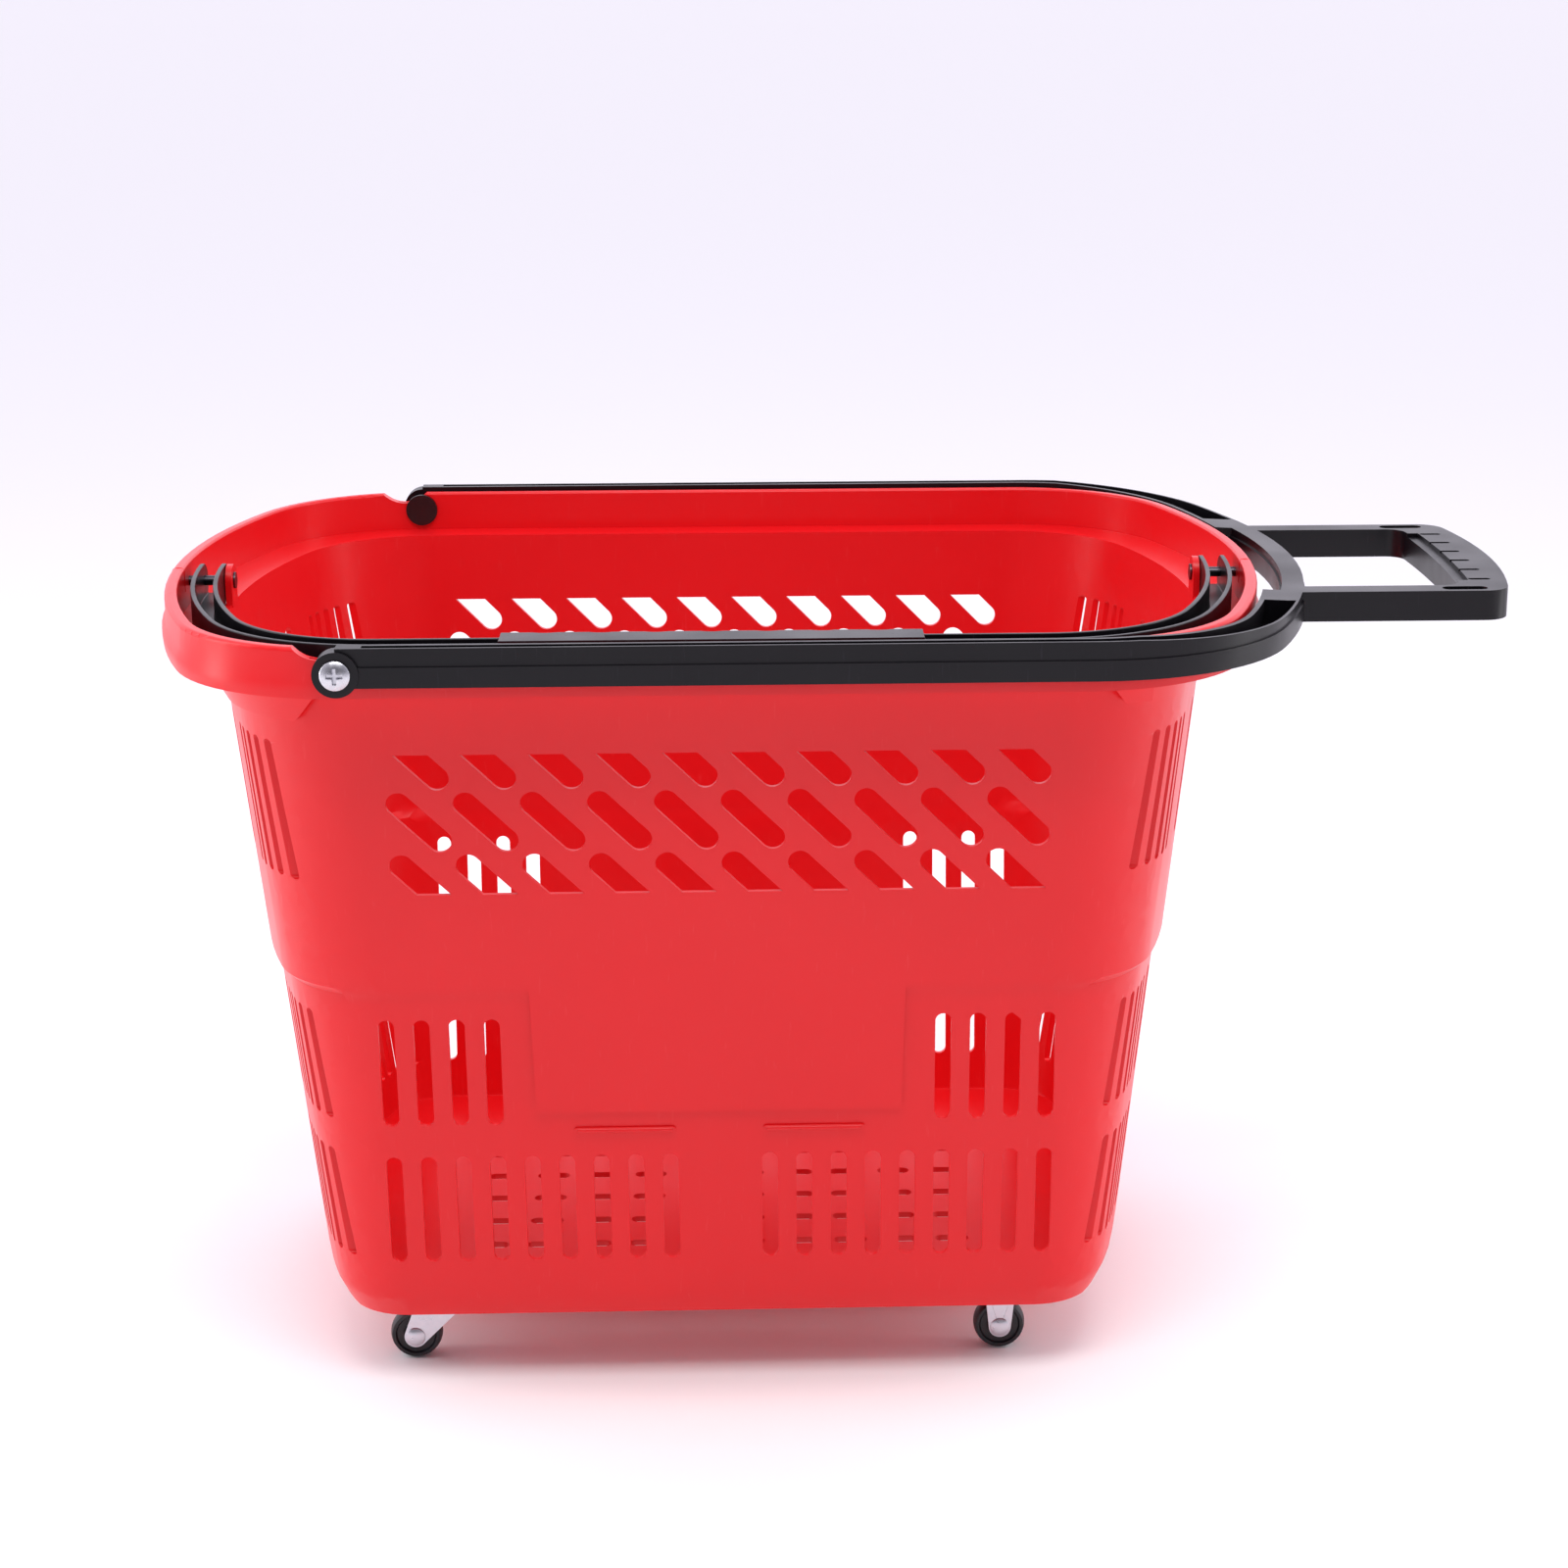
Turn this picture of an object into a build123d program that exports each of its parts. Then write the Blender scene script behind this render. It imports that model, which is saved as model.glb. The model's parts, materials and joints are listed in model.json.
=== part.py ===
import os
from math import sqrt

from build123d import *

# Rolling shopping basket: a one-piece moulded tub on four small casters, with a long pull handle
# folded round the rim and a carry handle lying on the ledge inside it. Millimetres, +Z up,
# floor at Z 0, +X towards the grip of the folded pull handle.

# ---- rim and ledge ----
rim_length = 537.0
rim_width = 376.0
rim_top = 389.0
rim_bottom = 369.0
rim_thickness = 6.0
rim_corner = 86.0            # corner radius of the rim seen from above
rim_end_radius = 380.0       # the two ends bow out
rim_flare = 2.0              # the rim's lower edge stands this much further out at the ends
ledge_top = 368.5
ledge_thickness = 2.8
collar_bottom = 349.0
side_collar_bottom = 353.0

# ---- walls and floor ----
wall = 2.6
skirt_bottom = 38.0
floor_bottom = 46.0
floor_top = 49.0
bevel_top = 48.0
shoulder_z = 212.0
shoulder_height = 3.5
side_draft = 0.0963          # lean of the long walls, per millimetre of height
end_draft = 0.106
base_half_length = 206.2     # outside of the walls at bevel_top
base_half_width = 134.0
wall_corner = 38.0           # corner radius of the wall at bevel_top
wall_end_radius = 360.0
side_shoulder = 2.0
end_shoulder = 3.5
sweep_top = 74.0             # the ends sweep in under the tub below this height
sweep_depth = 30.0
panel_half_length = 87.0     # middle panel of each long wall, which carries on below the shoulder
panel_bottom = 151.0
ridge_x = 45.2               # short ridge bars below each middle panel
ridge_z = 140.4
ridge_size = (48.6, 3.0)
ridge_height = 1.2
skirt_inset = 5.5            # the skirt's lower edge, in from the wall at bevel_top
skirt_wall = 3.0

# ---- openings in the walls ----
slant_pitch = 30.6
slant_shift = 2.2
slant_middle = 300.0
slant_columns = 10
slant_width = 11.4
slant_centres = 25.5
slant_bottom = 264.0
slant_top = 333.0
bar_pitch = 16.55
bar_width = 7.6
bar_first = 23.9             # nearest upright slot to the middle of the long wall
low_tier = (70.0, 127.0)
mid_tier = (143.7, 199.5)
high_tier = (268.0, 336.0)
fine_pitch = 7.8
fine_width = 4.0

# ---- pull handle ----
pivot_x = -165.0             # from the basket's middle
pivot_z = 379.5
handle_top = 391.0
handle_bottom = 373.2
step_z = 382.6               # the lower band of the arms stands proud of the upper one
step_depth = 1.0
handle_gap = 0.9             # between the rim and the pull handle
handle_wall = 2.4
arm_face = 197.2
crown_end = 291.6            # outer face of the crown, at its middle
crown_width = 10.5
crown_radius = 350.0
crown_corner = 100.0
land_y = 76.0                # the gap inside the crown reaches this far each side
pocket_end = 99.0            # the open channels of the arms stop this far from the middle
slope_start = 190.0          # the top slopes down from here to the crown
slope_end = 272.0
grip_end = 391.0
loop_top = 386.8
grip_radius = 360.0
grip_inner = 364.0
loop_half_width = 81.5
loop_bar = 13.0
loop_bottom = 372.2
boss_radius = 10.3
barrel_radius = 5.0

# ---- carry handle ----
carry_bottom = 369.9
carry_top = 388.0
carry_width = 13.0
carry_wall = 2.3
carry_end = 257.0            # outer flange at the pins
carry_side = 178.0           # outer flange along the side
carry_grip_half = 95.0
carry_corner = 88.0
carry_end_radius = 320.0
pin_z = 379.7
pin_radius = 2.5
lug_x = 240.3                # inner face of the lugs
lug_thickness = 3.2
seat_depth = 0.4             # flat seats of the pivot bushes, cut into the rim's inner face

# ---- casters ----
caster_x = 139.5
caster_y = 94.5
wheel_radius = 13.0
wheel_width = 11.0
trail = 15.0
fork_gap = 12.4              # between the legs of a fork
sheet = 1.4                  # pressed steel of the forks
plate_top = 41.0
plate_thickness = 1.6
plate_size = (38.0, 32.0)
hole_spacing = (30.0, 24.0)
fork_top = 35.0
kingpin_radius = 3.0
sleeve_radius = 3.0
rivet_radius = 1.75
play = 0.05                  # radial play of a shaft that turns in its hole

# The basket's middle is off the row's origin, because the grip overhangs one end only.
basket_x = -(grip_end - rim_length / 2 - rim_flare) / 2


# ---- planes ----
def level(z, x=0.0, y=0.0):
    return Plane(origin=(basket_x + x, y, z), x_dir=(1, 0, 0), z_dir=(0, 0, 1))


def side(y=0.0, x=0.0, z=0.0):
    # local x is +X and local y is +Z; extrusions run towards -Y
    return Plane(origin=(basket_x + x, y, z), x_dir=(1, 0, 0), z_dir=(0, -1, 0))


def across(x=0.0, y=0.0, z=0.0):
    # local x is +Y and local y is +Z; extrusions run towards +X
    return Plane(origin=(basket_x + x, y, z), x_dir=(0, 1, 0), z_dir=(1, 0, 0))


# ---- outlines seen from above ----
def oval(half_length, half_width, corner, end_radius):
    # two straight sides, two bowed ends and four tangent corner arcs
    end_centre = half_length - end_radius
    corner_y = half_width - corner
    corner_x = end_centre + sqrt((end_radius - corner) ** 2 - corner_y**2)
    stretch = end_radius / (end_radius - corner)
    meet_x = end_centre + (corner_x - end_centre) * stretch
    meet_y = corner_y * stretch
    with BuildSketch() as shape:
        with BuildLine():
            TangentArc((corner_x, half_width), (meet_x, meet_y), tangent=(1, 0))
            ThreePointArc((meet_x, meet_y), (half_length, 0), (meet_x, -meet_y))
            TangentArc((corner_x, -half_width), (meet_x, -meet_y), tangent=(1, 0))
            mirror(about=Plane.YZ)
            Line((-corner_x, half_width), (corner_x, half_width))
            Line((-corner_x, -half_width), (corner_x, -half_width))
        make_face()
    return shape.sketch


def rim_oval(inset, flare=0.0):
    # the rim's outline moved in by inset; flare lengthens it at the ends
    return oval(
        rim_length / 2 - inset + flare,
        rim_width / 2 - inset + flare / 9,
        rim_corner - inset,
        rim_end_radius - inset,
    )


def wall_oval(z, inset, proud=0.0):
    # section of the tapered wall at one height, moved in by inset; proud pushes the sides out
    above = z > shoulder_z + shoulder_height / 2
    half_length = base_half_length + end_draft * (z - bevel_top) + above * end_shoulder
    half_width = base_half_width + side_draft * (z - bevel_top) + above * side_shoulder + proud
    corner = wall_corner + half_width - base_half_width - inset
    return oval(half_length - inset, half_width - inset, corner, wall_end_radius - inset)


def handle_oval(inset):
    # outer outline of the pull handle's corners and crown
    return oval(
        crown_end - inset, arm_face - inset, crown_corner - inset, crown_radius - inset
    )


def carry_oval(inset):
    return oval(
        carry_end - inset, carry_side - inset, carry_corner - inset, carry_end_radius - inset
    )


# ---- the tub ----
def wall_form(inset, bottom, bottom_inset, top):
    # the tapered body as one closed form
    with BuildPart() as form:
        with BuildSketch(level(bottom)):
            add(wall_oval(max(bottom, bevel_top), bottom_inset))
        for z in (bevel_top + 2, shoulder_z, shoulder_z + shoulder_height, top):
            with BuildSketch(level(z)):
                add(wall_oval(z, inset))
        loft(ruled=True)
    return form.part


def end_sweep(start_inset, foot_depth, start_z, foot_z):
    # what the sweep under the two ends takes away, as a side view pushed right across
    wall_x = base_half_length + end_draft * (start_z - bevel_top) - start_inset
    with BuildPart() as form:
        with BuildSketch(side()):
            with BuildLine():
                TangentArc((wall_x, start_z), (wall_x - foot_depth, foot_z), tangent=(-0.3, -1))
                Polyline(
                    (wall_x - foot_depth, foot_z),
                    (wall_x - foot_depth, foot_z - 30),
                    (wall_x + 60, foot_z - 30),
                    (wall_x + 60, start_z),
                    (wall_x, start_z),
                )
            make_face()
            mirror(about=Plane.YZ)
        extrude(amount=rim_width, both=True)
    return form.part


def upright_slots(places, tier, width):
    # a row of round-ended upright slots, drawn in side view
    low, high = tier
    with BuildSketch() as row:
        with Locations([(place, (low + high) / 2) for place in places]):
            SlotOverall(high - low, width, rotation=90)
    return row.sketch


with BuildPart() as outer_form:
    add(wall_form(0, skirt_bottom, skirt_inset, rim_bottom))
    add(end_sweep(-0.4, sweep_depth, sweep_top, skirt_bottom), mode=Mode.SUBTRACT)

with BuildPart() as inner_form:
    add(wall_form(wall, floor_top, wall + 0.4, rim_top))
    add(end_sweep(wall - 0.4, 17.5, sweep_top + 2, floor_top), mode=Mode.SUBTRACT)

with BuildPart() as panel_form:
    # the middle of each long wall stays in the upper wall's plane down to panel_bottom
    panel_top = shoulder_z + shoulder_height
    for z, proud in ((panel_bottom, side_shoulder), (shoulder_z + 1, side_shoulder), (panel_top, 0)):
        with BuildSketch(level(z)):
            add(wall_oval(z, 0, proud))
    loft(ruled=True)
    with BuildSketch(side()):
        with BuildLine():
            Polyline(
                (-panel_half_length, panel_bottom),
                (panel_half_length, panel_bottom),
                (panel_half_length + 1.5, panel_top),
                (-panel_half_length - 1.5, panel_top),
                close=True,
            )
        make_face()
    extrude(amount=rim_width, both=True, mode=Mode.INTERSECT)

with BuildPart() as collar_form:
    # a low step under the rim: right round one end, and a short panel each side at the other
    with BuildSketch(level(collar_bottom)):
        add(wall_oval(collar_bottom, -4.0))
    with BuildSketch(level(rim_bottom)):
        add(wall_oval(rim_bottom, -8.0))
    loft(ruled=True)
    with BuildSketch(side()):
        with BuildLine():
            Polyline(
                (-rim_length, collar_bottom),
                (-189, collar_bottom),
                (-174, rim_bottom),
                (-rim_length, rim_bottom),
                close=True,
            )
        make_face()
        with BuildLine():
            Polyline(
                (177, rim_bottom),
                (188, side_collar_bottom + 1),
                (201, side_collar_bottom),
                (201, rim_bottom),
                close=True,
            )
        make_face()
    extrude(amount=rim_width, both=True, mode=Mode.INTERSECT)

with BuildPart() as basket_tub:
    add(outer_form.part)
    add(panel_form.part)
    add(collar_form.part)
    # ledge and rim
    with BuildSketch(level(ledge_top - ledge_thickness)):
        add(rim_oval(0.8))
    extrude(amount=ledge_thickness)
    with BuildSketch(level(rim_bottom - 3)):
        add(rim_oval(0.4, rim_flare))
    for z, flare in ((rim_bottom, rim_flare), (rim_bottom + 4, rim_flare), (rim_bottom + 8, 0), (rim_top - 4, 0)):
        with BuildSketch(level(z)):
            add(rim_oval(0, flare))
    loft(ruled=True)
    with BuildSketch(level(rim_top - 4)):
        add(rim_oval(0))
    extrude(amount=4)
    rim_edges = basket_tub.faces().sort_by(Axis.Z)[-1].edges()
    fillet(rim_edges, radius=2.2)
    # hollow inside
    with BuildSketch(level(ledge_top)):
        add(rim_oval(rim_thickness))
    extrude(amount=rim_top - ledge_top, mode=Mode.SUBTRACT)
    inner_edges = basket_tub.faces().filter_by(Plane.XY).sort_by(Axis.Z)[-1].inner_wires()[0]
    fillet(inner_edges.edges(), radius=1.4)
    add(inner_form.part, mode=Mode.SUBTRACT)
    # the rim's two skins have a slot between them, open below
    with BuildSketch(level(rim_bottom - 3)):
        add(rim_oval(2.3))
        add(rim_oval(rim_thickness - 2.0), mode=Mode.SUBTRACT)
    extrude(amount=rim_top - rim_bottom - 2, mode=Mode.SUBTRACT)
    # recess under the floor, with pads for the casters
    with BuildSketch(level(skirt_bottom)):
        RectangleRounded(
            2 * (base_half_length - sweep_depth - skirt_wall),
            2 * (base_half_width - skirt_inset - skirt_wall),
            16,
        )
    extrude(amount=floor_bottom - skirt_bottom, mode=Mode.SUBTRACT)
    with BuildSketch(level(plate_top)):
        with GridLocations(2 * caster_x, 2 * caster_y, 2, 2):
            RectangleRounded(plate_size[0] + 4, plate_size[1] + 4, 3)
    extrude(amount=floor_bottom - plate_top)
    # stiffening ribs under the floor
    with BuildSketch(level(plate_top + 1)):
        with GridLocations(0, 58, 1, 3):
            Rectangle(2 * caster_x - plate_size[0] - 4, 2)
        with GridLocations(78, 0, 3, 1):
            Rectangle(2, 2 * base_half_width - 20)
    extrude(amount=floor_bottom - plate_top - 1)
    # drain slots through the floor, in the bays between the ribs
    with BuildSketch(level(skirt_bottom)):
        with GridLocations(26, 29, 10, 6):
            SlotOverall(17, 7)
    extrude(amount=floor_top - skirt_bottom + 1, mode=Mode.SUBTRACT)
    # ridge bars below each middle panel
    ridge_y = base_half_width + side_draft * (ridge_z - bevel_top)
    for turn in (-1, 1):
        with BuildSketch(side(turn * (ridge_y - wall / 2), 0, ridge_z)):
            with GridLocations(2 * ridge_x, 0, 2, 1):
                SlotOverall(*ridge_size)
        extrude(amount=-turn * (wall / 2 + ridge_height))
    # slanted openings in three rows, the outer rows cut off straight
    with BuildSketch(side()):
        with Locations((slant_shift, slant_middle)):
            with GridLocations(slant_pitch, slant_pitch, slant_columns, 3):
                SlotCenterToCenter(slant_centres, slant_width, rotation=-45)
        with Locations((0, (slant_top + slant_bottom) / 2)):
            Rectangle(rim_length, slant_top - slant_bottom, mode=Mode.INTERSECT)
    extrude(amount=rim_width, both=True, mode=Mode.SUBTRACT)
    # upright slots in the long walls
    side_places = [bar_first + step * bar_pitch for step in range(9)]
    for front_back in (-1, 1):
        with BuildSketch(side(front_back * (base_half_width - 10))):
            for turn in (-1, 1):
                add(upright_slots([turn * place for place in side_places], low_tier, bar_width))
                add(upright_slots([turn * place for place in side_places[5:]], mid_tier, bar_width))
        extrude(amount=-front_back * 40, mode=Mode.SUBTRACT)
    # upright slots in the ends: wide ones in the middle and fine ones round the corners
    wide_places = [step * bar_pitch for step in range(-5, 6)]
    with BuildSketch(across()):
        for tier, outermost in ((low_tier, 126), (mid_tier, 129.5), (high_tier, 142.5)):
            fine_places = [outermost - step * fine_pitch for step in range(5)]
            add(upright_slots(wide_places, tier, bar_width))
            add(upright_slots(fine_places, tier, fine_width))
            add(upright_slots([-place for place in fine_places], tier, fine_width))
    extrude(amount=rim_length, both=True, mode=Mode.SUBTRACT)
    # lugs on the ledge for the carry handle's pins
    for turn in (-1, 1):
        with BuildSketch(across(turn * lug_x)):
            with Locations((0, pin_z)):
                Circle(8)
            with Locations((0, (pin_z + ledge_top - 1) / 2)):
                Rectangle(16, pin_z - ledge_top + 1)
        extrude(amount=turn * lug_thickness)
    # pin holes, pivot holes and a scallop in the rim beside each pivot
    with BuildSketch(across(-rim_length / 2 + 2.6)):
        with Locations((0, pin_z)):
            Circle(pin_radius)
    extrude(amount=rim_length - 5.2, mode=Mode.SUBTRACT)
    with BuildSketch(side(0, pivot_x, pivot_z)):
        Circle(barrel_radius)
        with Locations((-9, 19.5)):
            Circle(15.5)
    extrude(amount=rim_width, both=True, mode=Mode.SUBTRACT)
    # flat seats for the pivot bushes' flanges, inside the rim
    for turn in (-1, 1):
        seat_plane = side(turn * (rim_width / 2 - rim_thickness + seat_depth), pivot_x, pivot_z)
        with BuildSketch(seat_plane):
            Circle(8.7)
        extrude(amount=turn * 2, mode=Mode.SUBTRACT)
    # screw holes in the caster pads
    for turn_x in (-1, 1):
        for turn_y in (-1, 1):
            with BuildSketch(level(plate_top, turn_x * caster_x, turn_y * caster_y)):
                with GridLocations(hole_spacing[0], hole_spacing[1], 2, 2):
                    Circle(1.5)
            extrude(amount=6.5, mode=Mode.SUBTRACT)

# cutting the slots can shave loose slivers off the wall, so only the largest body is kept
tub_body = basket_tub.solids().sort_by(SortBy.VOLUME)[-1]


# ---- pull handle ----
def loop_oval(margin):
    # the loop beyond the crown, grown inwards by margin: outline less its opening
    length = grip_end - 280
    with BuildSketch() as shape:
        with Locations((280 + length / 2 - margin / 2, 0)):
            Rectangle(length - margin, 2 * (loop_half_width - margin))
        with Locations((grip_end - grip_radius, 0)):
            Circle(grip_radius - margin, mode=Mode.INTERSECT)
        fillet(shape.vertices().group_by(Axis.X)[-1], radius=13 - margin)
    return shape.sketch


def loop_opening(margin):
    with BuildSketch() as shape:
        with Locations(((270 + grip_inner) / 2, 0)):
            Rectangle(grip_inner - 270 + 2 * margin, 2 * (loop_half_width - loop_bar + margin))
        with Locations((grip_inner - 900, 0)):
            Circle(900 + margin, mode=Mode.INTERSECT)
        fillet(shape.vertices().group_by(Axis.X)[-1], radius=9 + margin)
    return shape.sketch


def crown_opening(margin):
    # the see-through gap between the rim's end and the crown
    inset = crown_width + margin
    with BuildSketch() as shape:
        add(handle_oval(inset))
        with Locations((rim_length / 2, 0)):
            Rectangle(120, 2 * (land_y - margin), mode=Mode.INTERSECT)
    return shape.sketch


def behind_pivot(reach):
    # everything on the far side of the pivots, for cutting the handle off there
    with BuildSketch() as shape:
        with Locations((pivot_x - reach - rim_length, 0)):
            Rectangle(2 * rim_length, 2 * rim_width)
    return shape.sketch


with BuildPart() as pull_handle:
    # arms, corners and crown: a lower band and a slightly narrower upper one
    for bottom, top, inset in (
        (handle_bottom, step_z, -step_depth),
        (step_z, handle_top, 0),
    ):
        with BuildSketch(level(bottom)):
            add(handle_oval(inset))
            add(rim_oval(-handle_gap, rim_flare), mode=Mode.SUBTRACT)
            add(crown_opening(0), mode=Mode.SUBTRACT)
            add(behind_pivot(0), mode=Mode.SUBTRACT)
        extrude(amount=top - bottom)
    with BuildSketch(level(loop_bottom)):
        add(loop_oval(0))
        add(loop_opening(0), mode=Mode.SUBTRACT)
    extrude(amount=loop_top - loop_bottom)
    # the arms and corners are open channels
    with BuildSketch(level(handle_bottom + handle_wall)):
        add(handle_oval(handle_wall - step_depth))
        add(rim_oval(-handle_gap - handle_wall, rim_flare), mode=Mode.SUBTRACT)
        with Locations((rim_length / 2, 0)):
            Rectangle(140, 2 * pocket_end, mode=Mode.SUBTRACT)
        add(behind_pivot(-boss_radius - 1), mode=Mode.SUBTRACT)
    extrude(amount=handle_top, mode=Mode.SUBTRACT)
    # the top slopes down from the arms to the crown, which is hollow below
    with BuildSketch(side()):
        with BuildLine():
            Polyline(
                (slope_start, handle_top),
                (slope_end, loop_top),
                (grip_end + 10, loop_top),
                (grip_end + 10, handle_top + 10),
                (slope_start, handle_top + 10),
                close=True,
            )
        make_face()
    extrude(amount=rim_width, both=True, mode=Mode.SUBTRACT)
    with BuildSketch(level(handle_bottom)):
        add(handle_oval(handle_wall))
        add(handle_oval(crown_width - handle_wall), mode=Mode.SUBTRACT)
        with Locations((rim_length / 2 + 12, 0)):
            Rectangle(60, 2 * (pocket_end - handle_wall), mode=Mode.INTERSECT)
        with GridLocations(0, 16, 1, 9):
            with Locations((rim_length / 2, 0)):
                Rectangle(60, 1.6, mode=Mode.SUBTRACT)
    extrude(amount=loop_top - handle_bottom - handle_wall, mode=Mode.SUBTRACT)
    # the loop's bars and grip are hollow below, with ribs
    with BuildSketch(level(loop_bottom)):
        add(loop_oval(handle_wall))
        add(loop_opening(handle_wall), mode=Mode.SUBTRACT)
        with Locations((250, 0)):
            Rectangle(2 * (crown_end + 1.5 - 250), 2 * rim_width, mode=Mode.SUBTRACT)
        with Locations((grip_inner + 12, 0)):
            with GridLocations(0, 24, 1, 6):
                Rectangle(34, 1.6, mode=Mode.SUBTRACT)
    extrude(amount=loop_top - loop_bottom - handle_wall - 0.6, mode=Mode.SUBTRACT)
    # a thicker lower band on the crown's inner face
    with BuildSketch(level(handle_bottom)):
        add(handle_oval(crown_width - 0.5))
        add(handle_oval(crown_width + step_depth), mode=Mode.SUBTRACT)
        with Locations((rim_length / 2, 0)):
            Rectangle(120, 2 * land_y, mode=Mode.INTERSECT)
    extrude(amount=step_z - handle_bottom)
    # stepped inner lip, finger grooves and the pockets at the ends of the grip
    with BuildSketch(level(loop_top - 2)):
        with Locations((grip_inner - 900, 0)):
            Circle(905.5)
        with Locations((grip_inner, 0)):
            Rectangle(20, 2 * (loop_half_width - loop_bar) - 22, mode=Mode.INTERSECT)
    extrude(amount=3, mode=Mode.SUBTRACT)
    with BuildSketch(level(loop_top - 1.2)):
        with GridLocations(0, 22, 1, 6):
            with Locations((grip_inner + 9.5, 0)):
                SlotOverall(11, 3.4)
    extrude(amount=2, mode=Mode.SUBTRACT)
    with BuildSketch(level(loop_top - 7)):
        with GridLocations(0, 2 * (loop_half_width - loop_bar / 2), 1, 2):
            with Locations((grip_inner - 2, 0)):
                SlotOverall(22, 7)
    extrude(amount=8, mode=Mode.SUBTRACT)
    # round bosses at the pivots
    for turn in (-1, 1):
        with BuildSketch(side(turn * (rim_width / 2 + handle_gap), pivot_x, pivot_z)):
            Circle(boss_radius)
        extrude(amount=-turn * (arm_face + step_depth + 0.8 - rim_width / 2 - handle_gap))
        with BuildSketch(side(turn * rim_width / 2, pivot_x, pivot_z)):
            Circle(barrel_radius + play)
        extrude(amount=-turn * 40, mode=Mode.SUBTRACT)

# ---- carry handle ----
with BuildPart() as carry_handle:
    with BuildSketch(level(carry_bottom)):
        add(carry_oval(0))
        add(carry_oval(carry_width), mode=Mode.SUBTRACT)
    extrude(amount=carry_top - carry_bottom)
    with BuildSketch(level(carry_bottom)):
        with Locations((0, -carry_side + carry_width / 2)):
            Rectangle(2 * carry_grip_half, carry_width + 4)
    extrude(amount=carry_top + 1.8 - carry_bottom)
    # the two ends are cut to round tips about the pins
    tip = (carry_top - carry_bottom) / 2
    with BuildSketch(across()):
        with Locations((-rim_width / 2, (carry_top + carry_bottom) / 2 + 1)):
            Rectangle(rim_width, carry_top - carry_bottom + 4)
        with Locations((0, (carry_top + carry_bottom) / 2)):
            Circle(tip)
    extrude(amount=rim_length / 2, both=True, mode=Mode.INTERSECT)
    # open channel either side of the grip
    with BuildSketch(level(carry_bottom + carry_wall)):
        add(carry_oval(carry_wall))
        add(carry_oval(carry_width - carry_wall), mode=Mode.SUBTRACT)
        with Locations((0, -carry_side)):
            Rectangle(2 * carry_grip_half, 80, mode=Mode.SUBTRACT)
    extrude(amount=carry_top - carry_bottom, mode=Mode.SUBTRACT)
    # the grip is hollow from below and notched for the fingers along its inner side
    with BuildSketch(level(carry_bottom)):
        with GridLocations(38, 0, 5, 1):
            with Locations((0, -carry_side + carry_width / 2)):
                Rectangle(34, carry_width + 4 - 2 * carry_wall)
    extrude(amount=carry_top + 1.8 - carry_bottom - carry_wall, mode=Mode.SUBTRACT)
    with BuildSketch(level(carry_bottom)):
        with GridLocations(25, 0, 7, 1):
            with Locations((0, -carry_side + carry_width + 2 + 10.8)):
                Circle(12)
    extrude(amount=2 * carry_top, mode=Mode.SUBTRACT)
    with BuildSketch(across(0, 0, pin_z)):
        Circle(pin_radius + play)
    extrude(amount=rim_length, both=True, mode=Mode.SUBTRACT)

# ---- pins, bushes and screws of the two handles ----
parts = [
    (tub_body, "basket_tub"),
    (pull_handle.part, "pull_handle"),
    (carry_handle.part, "carry_handle"),
]

for turn, place in ((-1, "left"), (1, "right")):
    with BuildPart() as carry_pin:
        with BuildSketch(across(turn * (lug_x - 1), 0, pin_z)):
            Circle(pin_radius)
        extrude(amount=turn * (rim_length / 2 - 3.4 - lug_x))
        with BuildSketch(across(turn * (lug_x - 1), 0, pin_z)):
            Circle(pin_radius + 1.6)
        extrude(amount=turn * 1)
    parts.append((carry_pin.part, f"{place}_carry_pin"))

for turn, place in ((-1, "front"), (1, "back")):
    out = -turn
    inner_face = rim_width / 2 - rim_thickness + seat_depth
    barrel_end = arm_face + step_depth + 1.1
    with BuildPart() as pivot_bush:
        with BuildSketch(side(turn * (inner_face - 2.2), pivot_x, pivot_z)):
            Circle(8.5)
        extrude(amount=out * 2.2)
        with BuildSketch(side(turn * (inner_face - 2.2), pivot_x, pivot_z)):
            Circle(barrel_radius)
        extrude(amount=out * (barrel_end - inner_face + 2.2))
        with BuildSketch(side(turn * barrel_end, pivot_x, pivot_z)):
            Circle(2.4)
        extrude(amount=-out * 14, mode=Mode.SUBTRACT)
    parts.append((pivot_bush.part, f"{place}_pivot_bush"))
    with BuildPart() as pivot_screw:
        # shank and domed pan head turned in one, then a cross recess
        with BuildSketch(level(pivot_z, pivot_x)):
            with BuildLine():
                Polyline(
                    (0, turn * (barrel_end - 13)),
                    (2.4, turn * (barrel_end - 13)),
                    (2.4, turn * barrel_end),
                    (6.7, turn * barrel_end),
                    (6.7, turn * (barrel_end + 1.0)),
                )
                TangentArc(
                    (0, turn * (barrel_end + 3.3)),
                    (6.7, turn * (barrel_end + 1.0)),
                    tangent=(1, 0),
                )
                Line((0, turn * (barrel_end + 3.3)), (0, turn * (barrel_end - 13)))
            make_face()
        revolve(axis=Axis((basket_x + pivot_x, 0, pivot_z), (0, 1, 0)))
        with BuildSketch(side(turn * (barrel_end + 1.2), pivot_x, pivot_z)):
            Rectangle(7.0, 1.3)
            Rectangle(1.3, 7.0)
        extrude(amount=out * 4, taper=-8, mode=Mode.SUBTRACT)
    parts.append((pivot_screw.part, f"{place}_pivot_screw"))


# ---- casters ----
def turned(profile, x, y):
    # a solid of revolution about the upright axis at x, y; profile is (radius, height) points
    with BuildPart() as form:
        with BuildSketch(side(y, x)):
            with BuildLine():
                Polyline(*profile, close=True)
            make_face()
        revolve(axis=Axis((basket_x + x, y, 0), (0, 0, 1)))
    return form.part


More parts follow.
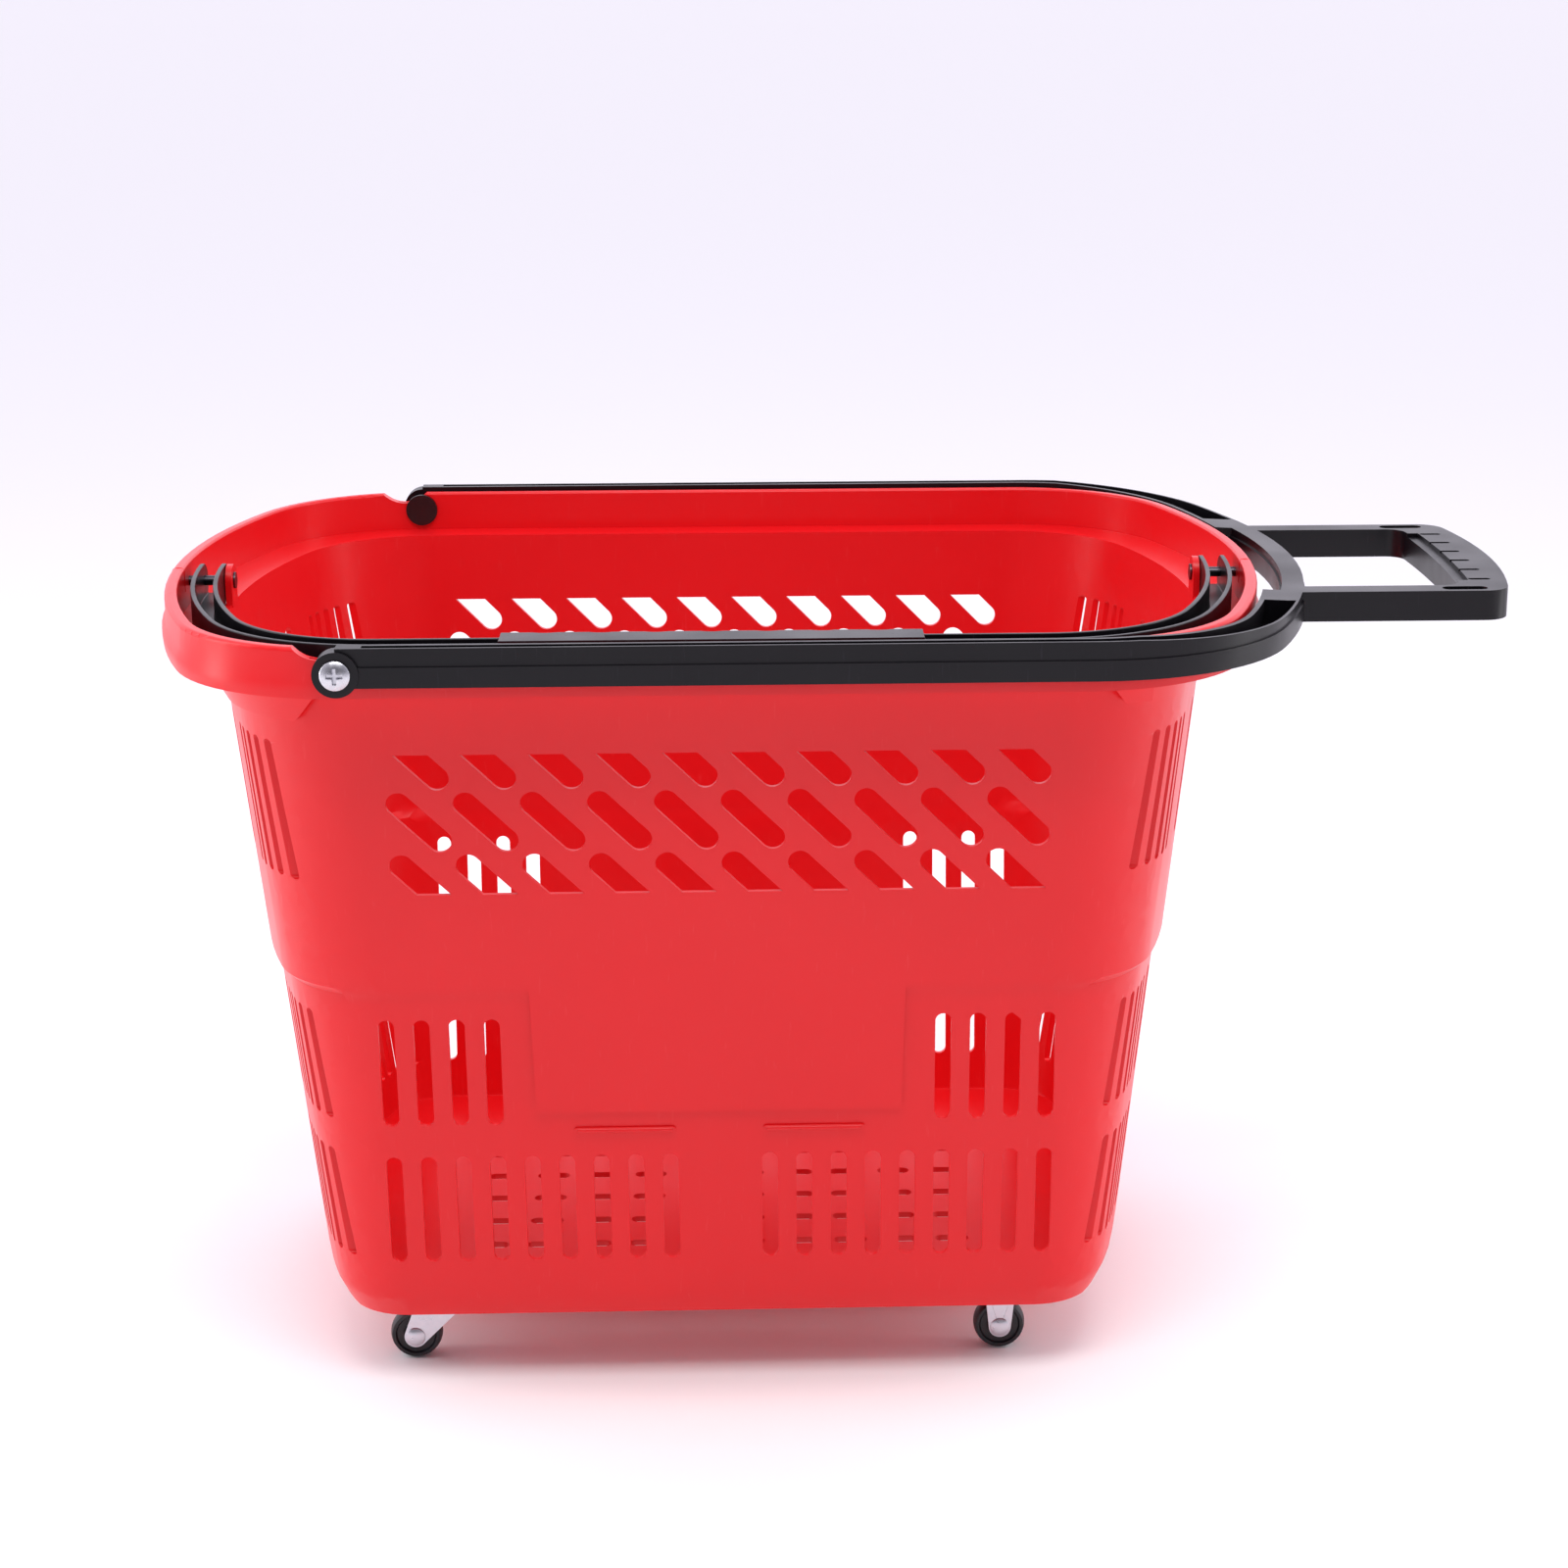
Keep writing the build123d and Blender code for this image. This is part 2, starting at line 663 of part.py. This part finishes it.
def ball_groove(x, y):
    # ring-shaped groove that the balls run in
    with BuildPart() as form:
        with BuildSketch(side(y, x, 37.2)):
            with Locations((9, 0)):
                Circle(1.8)
        revolve(axis=Axis((basket_x + x, y, 0), (0, 0, 1)))
    return form.part


def plate_form(x, y, ring):
    # stamped plate with slotted-through screw holes, and the upper ball race if it swivels
    with BuildPart() as form:
        with BuildSketch(level(plate_top - plate_thickness, x, y)):
            RectangleRounded(plate_size[0], plate_size[1], 4)
            with GridLocations(hole_spacing[0], hole_spacing[1], 2, 2):
                Circle(1.9, mode=Mode.SUBTRACT)
        extrude(amount=plate_thickness)
        if ring:
            low = plate_top - plate_thickness - 1.8
            add(turned([(6, low), (12, low), (12.8, low + 1.8), (6, low + 1.8)], x, y))
            add(ball_groove(x, y), mode=Mode.SUBTRACT)
            with BuildSketch(level(plate_top - plate_thickness, x, y)):
                Circle(kingpin_radius)
            extrude(amount=plate_thickness, mode=Mode.SUBTRACT)
    return form.part


def leg_form(x, y, axle_x, top_from, top_to, top):
    # the two legs of a fork: from the top edge down to a round eye at the axle
    with BuildPart() as form:
        for turn in (-1, 1):
            with BuildSketch(side(y + turn * (fork_gap / 2 + sheet / 2), x)):
                with BuildLine():
                    Line((top_from, top), (top_to, top))
                    CenterArc((axle_x, wheel_radius), 5.6, 150, 240)
                make_hull()
                with Locations((axle_x, wheel_radius)):
                    Circle(rivet_radius, mode=Mode.SUBTRACT)
            extrude(amount=sheet / 2, both=True)
    return form.part


def wheel_form(x, y):
    # moulded wheel: crowned tread, dished sides and a hub
    half = wheel_width / 2
    with BuildPart() as form:
        with BuildSketch(level(wheel_radius, x, y)):
            with BuildLine():
                Polyline(
                    (sleeve_radius + play, half),
                    (5.6, half),
                    (6.4, half - 1.6),
                    (9.6, half - 1.6),
                    (10.2, half - 0.2),
                    (wheel_radius - 1.2, half - 0.2),
                )
                ThreePointArc(
                    (wheel_radius - 1.2, half - 0.2),
                    (wheel_radius, 0),
                    (wheel_radius - 1.2, 0.2 - half),
                )
                Polyline(
                    (wheel_radius - 1.2, 0.2 - half),
                    (10.2, 0.2 - half),
                    (9.6, 1.6 - half),
                    (6.4, 1.6 - half),
                    (5.6, -half),
                    (sleeve_radius + play, -half),
                    (sleeve_radius + play, half),
                )
            make_face()
        revolve(axis=Axis((basket_x + x, y, wheel_radius), (0, 1, 0)))
    return form.part


def sleeve_form(x, y):
    # steel tube clamped between the legs, which the wheel turns on
    with BuildPart() as form:
        with BuildSketch(side(y, x, wheel_radius)):
            Circle(sleeve_radius)
            Circle(rivet_radius, mode=Mode.SUBTRACT)
        extrude(amount=fork_gap / 2, both=True)
    return form.part


def axle_form(x, y):
    # rivet through both legs and the sleeve, with a domed head at each end
    reach = fork_gap / 2 + sheet
    with BuildPart() as form:
        with BuildSketch(level(wheel_radius, x, y)):
            with BuildLine():
                for turn in (-1, 1):
                    Polyline(
                        (rivet_radius, 0),
                        (rivet_radius, turn * reach),
                        (4.9, turn * reach),
                        (4.9, turn * (reach + 0.5)),
                    )
                    TangentArc(
                        (0, turn * (reach + 1.6)), (4.9, turn * (reach + 0.5)), tangent=(1, 0)
                    )
                Line((0, -reach - 1.6), (0, reach + 1.6))
            make_face()
        revolve(axis=Axis((basket_x + x, y, wheel_radius), (0, 1, 0)))
    return form.part


for turn, place in ((-1, "front"), (1, "back")):
    x = -caster_x
    y = turn * caster_y
    parts.append((plate_form(x, y, True), f"{place}_swivel_plate"))
    with BuildPart() as balls:
        with Locations(level(37.2, x, y)):
            with PolarLocations(9, 12):
                Sphere(1.7)
    parts.append((balls.part, f"{place}_swivel_balls"))
    with BuildPart() as kingpin:
        # riveted over the plate, with a collar under the fork
        add(turned([(0, 33.1), (kingpin_radius, 33.1), (kingpin_radius, 41), (0, 41)], x, y))
        add(turned([(0, 31.4), (4.6, 31.4), (5.4, 32.2), (5.4, 33.1), (0, 33.1)], x, y))
    parts.append((kingpin.part, f"{place}_swivel_kingpin"))
    with BuildPart() as fork:
        # round crown with the lower ball race, and two legs trailing away from the grip end
        add(
            turned(
                [
                    (kingpin_radius + play, fork_top - 1.6),
                    (12, fork_top - 1.6),
                    (12.6, fork_top),
                    (12, fork_top + 1.8),
                    (6, fork_top + 1.8),
                    (6, fork_top),
                    (kingpin_radius + play, fork_top),
                ],
                x,
                y,
            )
        )
        with BuildSketch(level(fork_top - 1.6, x, y)):
            with Locations((1, 0)):
                Rectangle(26, fork_gap + 2 * sheet)
            Circle(kingpin_radius + play, mode=Mode.SUBTRACT)
        extrude(amount=1.6)
        add(ball_groove(x, y), mode=Mode.SUBTRACT)
        add(leg_form(x, y, -trail, -13, 15, fork_top))
    parts.append((fork.part, f"{place}_swivel_fork"))
    parts.append((wheel_form(x - trail, y), f"{place}_swivel_wheel"))
    parts.append((sleeve_form(x - trail, y), f"{place}_swivel_sleeve"))
    parts.append((axle_form(x - trail, y), f"{place}_swivel_axle"))
    # fixed caster: plate and legs pressed from one sheet
    x = caster_x
    with BuildPart() as bracket:
        add(plate_form(x, y, False))
        add(leg_form(x, y, 0, -8.5, 8.5, plate_top - plate_thickness))
    parts.append((bracket.part, f"{place}_fixed_bracket"))
    parts.append((wheel_form(x, y), f"{place}_fixed_wheel"))
    parts.append((sleeve_form(x, y), f"{place}_fixed_sleeve"))
    parts.append((axle_form(x, y), f"{place}_fixed_axle"))

with BuildPart() as caster_screws:
    # pan-head screws, four to a plate
    for turn_x in (-1, 1):
        for turn_y in (-1, 1):
            plate = level(plate_top - plate_thickness, turn_x * caster_x, turn_y * caster_y)
            with BuildSketch(plate):
                with GridLocations(hole_spacing[0], hole_spacing[1], 2, 2):
                    Circle(1.5)
            extrude(amount=7.6)
            with BuildSketch(plate):
                with GridLocations(hole_spacing[0], hole_spacing[1], 2, 2):
                    Circle(3.2)
            extrude(amount=-1.9)
parts.append((caster_screws.part, "caster_screws"))

os.makedirs("parts", exist_ok=True)
for part, name in parts:
    part.label = name
    export_step(part, f"parts/{name}.step")
    print(name, len(part.solids()), round(part.volume))
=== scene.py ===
import json
import math
import bpy
from mathutils import Euler, Matrix, Vector


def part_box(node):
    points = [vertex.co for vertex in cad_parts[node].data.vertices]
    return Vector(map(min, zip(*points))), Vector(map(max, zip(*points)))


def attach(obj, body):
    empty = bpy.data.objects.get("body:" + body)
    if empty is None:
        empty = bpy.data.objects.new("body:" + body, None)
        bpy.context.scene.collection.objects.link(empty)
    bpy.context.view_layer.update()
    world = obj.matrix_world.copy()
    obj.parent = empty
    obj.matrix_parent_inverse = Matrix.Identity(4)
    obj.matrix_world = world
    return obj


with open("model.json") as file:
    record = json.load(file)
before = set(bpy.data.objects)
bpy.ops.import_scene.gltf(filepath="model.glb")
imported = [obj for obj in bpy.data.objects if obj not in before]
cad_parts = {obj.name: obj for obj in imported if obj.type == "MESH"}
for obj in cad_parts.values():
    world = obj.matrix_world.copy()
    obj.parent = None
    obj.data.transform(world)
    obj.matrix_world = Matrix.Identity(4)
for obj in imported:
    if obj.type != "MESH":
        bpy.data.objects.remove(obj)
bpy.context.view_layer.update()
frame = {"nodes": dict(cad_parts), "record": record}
nodes = frame["nodes"]
mm = 0.001
print("frame loaded:", len(nodes), "nodes")

tubLow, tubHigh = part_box("basket_tub")
# the basket's middle, which its floor is centred on
basketX = next(m for m in frame["record"]["mounts"] if m["name"] == "load_floor")["pos_m"][0]


def toLinear(hexColour):
    # sRGB hex such as "E7161C" to the linear colour that shaders take
    parts = [int(hexColour[i:i + 2], 16) / 255 for i in (0, 2, 4)]
    return [p / 12.92 if p <= 0.04045 else ((p + 0.055) / 1.055) ** 2.4 for p in parts] + [1.0]


def addNode(tree, kind, settings=None, links=None):
    # settings go to the node's own options or else to its sockets, links are socket: where it comes from
    node = tree.nodes.new(kind)
    for key, value in (settings or {}).items():
        if isinstance(key, str) and hasattr(node, key):
            setattr(node, key, value)
        else:
            node.inputs[key].default_value = value
    for key, source in (links or {}).items():
        tree.links.new(source, node.inputs[key])
    return node


# camera, lights and floor
cameraLook = {
    "place": (basketX + 15.7 * mm, -1495.5 * mm, 702.5 * mm),
    "down": 16.12,      # degrees
    "turn": -1.99,
    "roll": -0.08,
    "lens": 69.65,
    "sensor": 36,
    "shiftX": -0.0421,
    "nearest": 0.05,
}
camera = bpy.data.objects.new("camera", bpy.data.cameras.new("camera"))
bpy.context.scene.collection.objects.link(camera)
camera.data.lens = cameraLook["lens"]
camera.data.sensor_width = cameraLook["sensor"]
camera.data.shift_x = cameraLook["shiftX"]
camera.data.clip_start = cameraLook["nearest"]
turned = Euler((0, 0, math.radians(cameraLook["turn"]))).to_matrix()
tilted = Euler((math.radians(90 - cameraLook["down"]), 0, 0)).to_matrix()
rolled = Euler((0, 0, math.radians(cameraLook["roll"]))).to_matrix()
camera.matrix_world = Matrix.Translation(cameraLook["place"]) @ (turned @ tilted @ rolled).to_4x4()
bpy.context.scene.camera = camera

lights = {
    # name: (place, aimed at, width, height, watts)
    "overhead": ((0.1, -0.85, 1.9), (0, 0, 0.3), 1.1, 0.6, 15),
    "key": ((-0.9, -1.2, 2.1), (0, 0, 0.2), 0.5, 0.4, 3),
    "leftStrip": ((-1.7, -0.1, 0.8), (-0.3, 0, 0.25), 0.3, 1.6, 10),
    "rightStrip": ((1.7, -0.1, 0.8), (0.2, 0, 0.25), 0.3, 1.6, 9),
}
for name, (place, aim, width, height, watts) in lights.items():
    lamp = bpy.data.objects.new(name, bpy.data.lights.new(name, "AREA"))
    bpy.context.scene.collection.objects.link(lamp)
    lamp.data.shape = "RECTANGLE"
    lamp.data.size = width
    lamp.data.size_y = height
    lamp.data.energy = watts
    lamp.location = place
    lamp.rotation_euler = (Vector(aim) - Vector(place)).to_track_quat("-Z", "Y").to_euler()

# the sky is dimmer in front, so that dark plastic stays dark, and bright behind
studio = {
    "sky": "F6F2FF", "front": 0.25, "back": 1.5, "fadeFrom": -0.9, "fadeTo": 0.6,
    "floor": "FDFCFC", "floorRough": 0.8, "floorSize": 60.0,
}
world = bpy.data.worlds.new("studio")
bpy.context.scene.world = world
world.use_nodes = True
sky = world.node_tree.nodes["Background"]
sky.inputs["Color"].default_value = toLinear(studio["sky"])
toward = addNode(world.node_tree, "ShaderNodeTexCoord").outputs["Generated"]
depth = addNode(world.node_tree, "ShaderNodeSeparateXYZ", {}, {"Vector": toward})
fade = addNode(world.node_tree, "ShaderNodeMapRange", {
    "From Min": studio["fadeFrom"], "From Max": studio["fadeTo"],
    "To Min": studio["front"], "To Max": studio["back"],
}, {"Value": depth.outputs["Y"]})
world.node_tree.links.new(fade.outputs["Result"], sky.inputs["Strength"])
bpy.context.scene.view_settings.view_transform = "Standard"

floorMesh = bpy.data.meshes.new("floor")
half = studio["floorSize"] / 2
corners = [(-half, -half, 0), (half, -half, 0), (half, half, 0), (-half, half, 0)]
floorMesh.from_pydata(corners, [], [(0, 1, 2, 3)])
floor = bpy.data.objects.new("floor", floorMesh)
bpy.context.scene.collection.objects.link(floor)
paper = bpy.data.materials.new("studio paper, matt")
paper.use_nodes = True
paper.node_tree.nodes["Principled BSDF"].inputs["Base Color"].default_value = toLinear(studio["floor"])
paper.node_tree.nodes["Principled BSDF"].inputs["Roughness"].default_value = studio["floorRough"]
floorMesh.materials.append(paper)
print("studio ready")

# scuffs are long thin marks, kept rare by the steep part of the map, and duller than the rest
scuffing = {"stretch": (1.0, 1.0, 0.08), "lie": (0.3, 0.9, 0.2), "from": 0.66, "to": 0.78, "duller": 0.12}
# noise rarely leaves this band, which is spread over the whole roughness range
noiseBand = {"low": 0.3, "high": 0.7}
# tool lines on steel are drawn out along one way
toolLines = {"stretch": (1.0, 1.0, 0.1)}


def startMaterial(name):
    material = bpy.data.materials.new(name)
    material.use_nodes = True
    tree = material.node_tree
    place = addNode(tree, "ShaderNodeTexCoord").outputs["Object"]
    return material, tree, tree.nodes["Principled BSDF"], place


def noise(tree, sizeMm, detail, place):
    settings = {"Scale": 1 / (sizeMm * mm), "Detail": detail}
    return addNode(tree, "ShaderNodeTexNoise", settings, {"Vector": place})


def spread(tree, value, rough):
    # noise to a roughness between the two ends of rough
    return addNode(tree, "ShaderNodeMapRange", {
        "From Min": noiseBand["low"], "From Max": noiseBand["high"], "To Min": rough[0], "To Max": rough[1],
    }, {"Value": value})


def mouldedPlastic(name, look):
    # pigment clouds, the mould's spark-eroded grain, slow sink waves and light handling scuffs
    material, tree, shader, place = startMaterial(name)
    shader.inputs["IOR"].default_value = look["ior"]
    shader.inputs["Specular IOR Level"].default_value = look.get("sheen", 0.5)
    cloud = noise(tree, look["cloudMm"], 3.0, place)
    base = addNode(tree, "ShaderNodeMix", {
        "data_type": "RGBA", 6: toLinear(look["deep"]), 7: toLinear(look["colour"]),
    }, {0: cloud.outputs["Fac"]})
    stretch = addNode(tree, "ShaderNodeMapping", {
        "Scale": scuffing["stretch"], "Rotation": scuffing["lie"],
    }, {"Vector": place})
    scratch = noise(tree, look["scuffMm"], 2.0, stretch.outputs["Vector"])
    scuff = addNode(tree, "ShaderNodeMapRange", {
        "From Min": scuffing["from"], "From Max": scuffing["to"], "To Min": 0.0, "To Max": 1.0,
    }, {"Value": scratch.outputs["Fac"]})
    paler = addNode(tree, "ShaderNodeMath", {"operation": "MULTIPLY", 1: look["scuffShow"]},
                    {0: scuff.outputs["Result"]})
    worn = addNode(tree, "ShaderNodeMix", {"data_type": "RGBA", 7: toLinear(look["worn"])},
                   {0: paler.outputs["Value"], 6: base.outputs[2]})
    tree.links.new(worn.outputs[2], shader.inputs["Base Color"])
    patch = noise(tree, look["patchMm"], 2.0, place)
    gloss = spread(tree, patch.outputs["Fac"], look["rough"])
    duller = addNode(tree, "ShaderNodeMath", {"operation": "MULTIPLY_ADD", 1: scuffing["duller"]},
                     {0: scuff.outputs["Result"], 2: gloss.outputs["Result"]})
    tree.links.new(duller.outputs["Value"], shader.inputs["Roughness"])
    grain = noise(tree, look["grainMm"], 2.0, place)
    fine = addNode(tree, "ShaderNodeBump", {"Strength": 1.0, "Distance": look["grainHeightMm"] * mm},
                   {"Height": grain.outputs["Fac"]})
    wave = noise(tree, look["waveMm"], 1.0, place)
    slow = addNode(tree, "ShaderNodeBump", {"Strength": 1.0, "Distance": look["waveHeightMm"] * mm},
                   {"Height": wave.outputs["Fac"], "Normal": fine.outputs["Normal"]})
    tree.links.new(slow.outputs["Normal"], shader.inputs["Normal"])
    return material


def platedSteel(name, look):
    # plating over pressed or turned steel: cloudy, with faint tool lines
    material, tree, shader, place = startMaterial(name)
    shader.inputs["Metallic"].default_value = 1.0
    cloud = noise(tree, look["cloudMm"], 4.0, place)
    base = addNode(tree, "ShaderNodeMix", {
        "data_type": "RGBA", 6: toLinear(look["deep"]), 7: toLinear(look["colour"]),
    }, {0: cloud.outputs["Fac"]})
    tree.links.new(base.outputs[2], shader.inputs["Base Color"])
    gloss = spread(tree, cloud.outputs["Fac"], look["rough"])
    tree.links.new(gloss.outputs["Result"], shader.inputs["Roughness"])
    stretch = addNode(tree, "ShaderNodeMapping", {"Scale": toolLines["stretch"]}, {"Vector": place})
    lines = noise(tree, look["lineMm"], 2.0, stretch.outputs["Vector"])
    bump = addNode(tree, "ShaderNodeBump", {"Strength": 1.0, "Distance": look["lineHeightMm"] * mm},
                   {"Height": lines.outputs["Fac"]})
    tree.links.new(bump.outputs["Normal"], shader.inputs["Normal"])
    return material


# the mould's grain is drawn coarser than the real 0.1 mm, which would be too fine to show
# high-density polyethylene, injection moulded: waxy satin red with soft wide highlights
redPolyethylene = mouldedPlastic("high-density polyethylene, injection moulded", {
    "colour": "E61219", "deep": "DA0D15", "worn": "EE5C5E", "sheen": 0.33, "ior": 1.54,
    "cloudMm": 140, "scuffMm": 1.6, "scuffShow": 0.12, "patchMm": 90, "rough": (0.30, 0.36),
    "grainMm": 1.4, "grainHeightMm": 0.006, "waveMm": 45, "waveHeightMm": 0.25,
})
# polypropylene, injection moulded: near-black with a fine tooth that greys its lit tops
blackPolypropylene = mouldedPlastic("polypropylene, injection moulded", {
    "colour": "0D0A10", "deep": "08060A", "worn": "35313A", "sheen": 0.3, "ior": 1.49,
    "cloudMm": 60, "scuffMm": 1.2, "scuffShow": 0.25, "patchMm": 40, "rough": (0.30, 0.40),
    "grainMm": 1.1, "grainHeightMm": 0.010, "waveMm": 30, "waveHeightMm": 0.08,
})
# nylon, injection moulded: black bushes, a little glossier from being rubbed
blackNylon = mouldedPlastic("nylon, injection moulded", {
    "colour": "141316", "deep": "0E0D10", "worn": "3A383C", "ior": 1.53,
    "cloudMm": 20, "scuffMm": 0.8, "scuffShow": 0.3, "patchMm": 10, "rough": (0.28, 0.38),
    "grainMm": 0.8, "grainHeightMm": 0.006, "waveMm": 12, "waveHeightMm": 0.02,
})
# polyurethane wheel, cast: dull black that greys where it rolls
blackWheel = mouldedPlastic("polyurethane wheel, cast", {
    "colour": "19161C", "deep": "110F14", "worn": "5A565C", "ior": 1.50,
    "cloudMm": 8, "scuffMm": 0.7, "scuffShow": 0.45, "patchMm": 6, "rough": (0.38, 0.52),
    "grainMm": 0.6, "grainHeightMm": 0.012, "waveMm": 9, "waveHeightMm": 0.02,
})
# zinc-plated steel, pressed: pale, slightly cloudy mirror
zincPlate = platedSteel("zinc-plated steel, pressed", {
    "colour": "DCDCE2", "deep": "BFBFC8", "cloudMm": 5, "rough": (0.26, 0.40),
    "lineMm": 0.5, "lineHeightMm": 0.004,
})
# zinc-plated steel, cold headed: the same plating on a smoother head
screwSteel = platedSteel("zinc-plated steel, cold headed", {
    "colour": "D6D6DA", "deep": "B4B4BC", "cloudMm": 3, "rough": (0.20, 0.32),
    "lineMm": 0.4, "lineHeightMm": 0.002,
})
# blackened steel bar, drawn: dark grey with fine lines along it
blackenedSteel = platedSteel("blackened steel, drawn", {
    "colour": "5E5A60", "deep": "454248", "cloudMm": 4, "rough": (0.25, 0.36),
    "lineMm": 0.3, "lineHeightMm": 0.003,
})
finishes = {
    "red_polyethylene": redPolyethylene,
    "black_polypropylene": blackPolypropylene,
    "bush_nylon": blackNylon,
    "black_wheel": blackWheel,
    "zinc_steel": zincPlate,
    "screw_steel": screwSteel,
    "pin_steel": blackenedSteel,
}
slotOf = {part["node"]: part["material_slot"] for part in frame["record"]["subparts"]}
for name, node in nodes.items():
    node.data.materials.clear()
    node.data.materials.append(finishes[slotOf[name]])
print("materials on", len(nodes), "nodes")


def raisedLine(name, points, width, closed=False):
    # a thin half-sunk red bead along points, which rides on the basket
    curve = bpy.data.curves.new(name, "CURVE")
    curve.dimensions = "3D"
    curve.bevel_depth = width / 2
    curve.bevel_resolution = 2
    spline = curve.splines.new("POLY")
    spline.points.add(len(points) - 1)
    for point, place in zip(spline.points, points):
        point.co = (*place, 1)
    spline.use_cyclic_u = closed
    piece = bpy.data.objects.new(name, curve)
    bpy.context.scene.collection.objects.link(piece)
    curve.materials.append(redPolyethylene)
    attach(piece, "basket")


# parting line of the mould, over the rim at both ends
# bow is how far the rim has curved back at aside, and profile runs (from the face, from the top)
rimSeam = {
    "aside": -14, "width": 0.5, "thickness": 6, "flare": 2, "bow": 0.26,
    "outerProfile": [(-2, -18), (-2, -12), (0, -4), (0, -2.2), (0.7, -0.6), (2.2, 0)],
    "innerProfile": [(-1.4, 0), (-0.4, -0.5), (0, -1.5), (0, -12)],
}
for name, end, way in (("rimSeamLeft", tubLow.x, 1), ("rimSeamRight", tubHigh.x, -1)):
    face = end + way * (rimSeam["bow"] + rimSeam["flare"]) * mm
    inner = face + way * rimSeam["thickness"] * mm
    profile = [(face + way * x * mm, z) for x, z in rimSeam["outerProfile"]]
    profile += [(inner + way * x * mm, z) for x, z in rimSeam["innerProfile"]]
    seam = [(x, rimSeam["aside"] * mm, tubHigh.z + z * mm) for x, z in profile]
    raisedLine(name, seam, rimSeam["width"] * mm)

# round marks that the ejector pins leave under the floor, from the basket's middle
ejectorMarks = {"radius": 4.5, "width": 0.4, "underside": 46, "x": (-104, -52, 52, 104), "y": (-29, 29)}
places = [(x, y) for x in ejectorMarks["x"] for y in ejectorMarks["y"]]
for number, (x, y) in enumerate(places):
    turns = [math.radians(a) for a in range(0, 360, 15)]
    ring = [(basketX + (x + ejectorMarks["radius"] * math.cos(a)) * mm,
             (y + ejectorMarks["radius"] * math.sin(a)) * mm, ejectorMarks["underside"] * mm) for a in turns]
    raisedLine(f"ejectorMark{number + 1}", ring, ejectorMarks["width"] * mm, closed=True)

# the rounded crest of each ridge bar under the middle panels, which catches the light from above
ridgeCrest = {"x": 45.2, "z": 140.4, "halfLength": 22.6, "aside": 143.5, "width": 2.4}
places = [(x, side) for side in (-1, 1) for x in (-ridgeCrest["x"], ridgeCrest["x"])]
for number, (x, side) in enumerate(places):
    crest = [(basketX + (x + way * ridgeCrest["halfLength"]) * mm, side * ridgeCrest["aside"] * mm,
              ridgeCrest["z"] * mm) for way in (-1, 1)]
    raisedLine(f"ridgeCrest{number + 1}", crest, ridgeCrest["width"] * mm)
print("mould marks and ridge crests added")

# moulded and pressed edges are rounded a little, so that they catch the light
edges = {
    "radius": {"basket_tub": 0.45, "pull_handle": 0.6, "carry_handle": 0.5}, "otherRadius": 0.2,
    "weld": 0.002, "sharperThan": 35, "segments": 2, "flatWeight": 60,
}
for name, node in nodes.items():
    weld = node.modifiers.new("weld", "WELD")
    weld.merge_threshold = edges["weld"] * mm
    bevel = node.modifiers.new("edge", "BEVEL")
    bevel.width = edges["radius"].get(name, edges["otherRadius"]) * mm
    bevel.segments = edges["segments"]
    bevel.limit_method = "ANGLE"
    bevel.angle_limit = math.radians(edges["sharperThan"])
    bevel.harden_normals = False
    normals = node.modifiers.new("normals", "WEIGHTED_NORMAL")
    normals.weight = edges["flatWeight"]
    normals.keep_sharp = False
print("edges rounded")
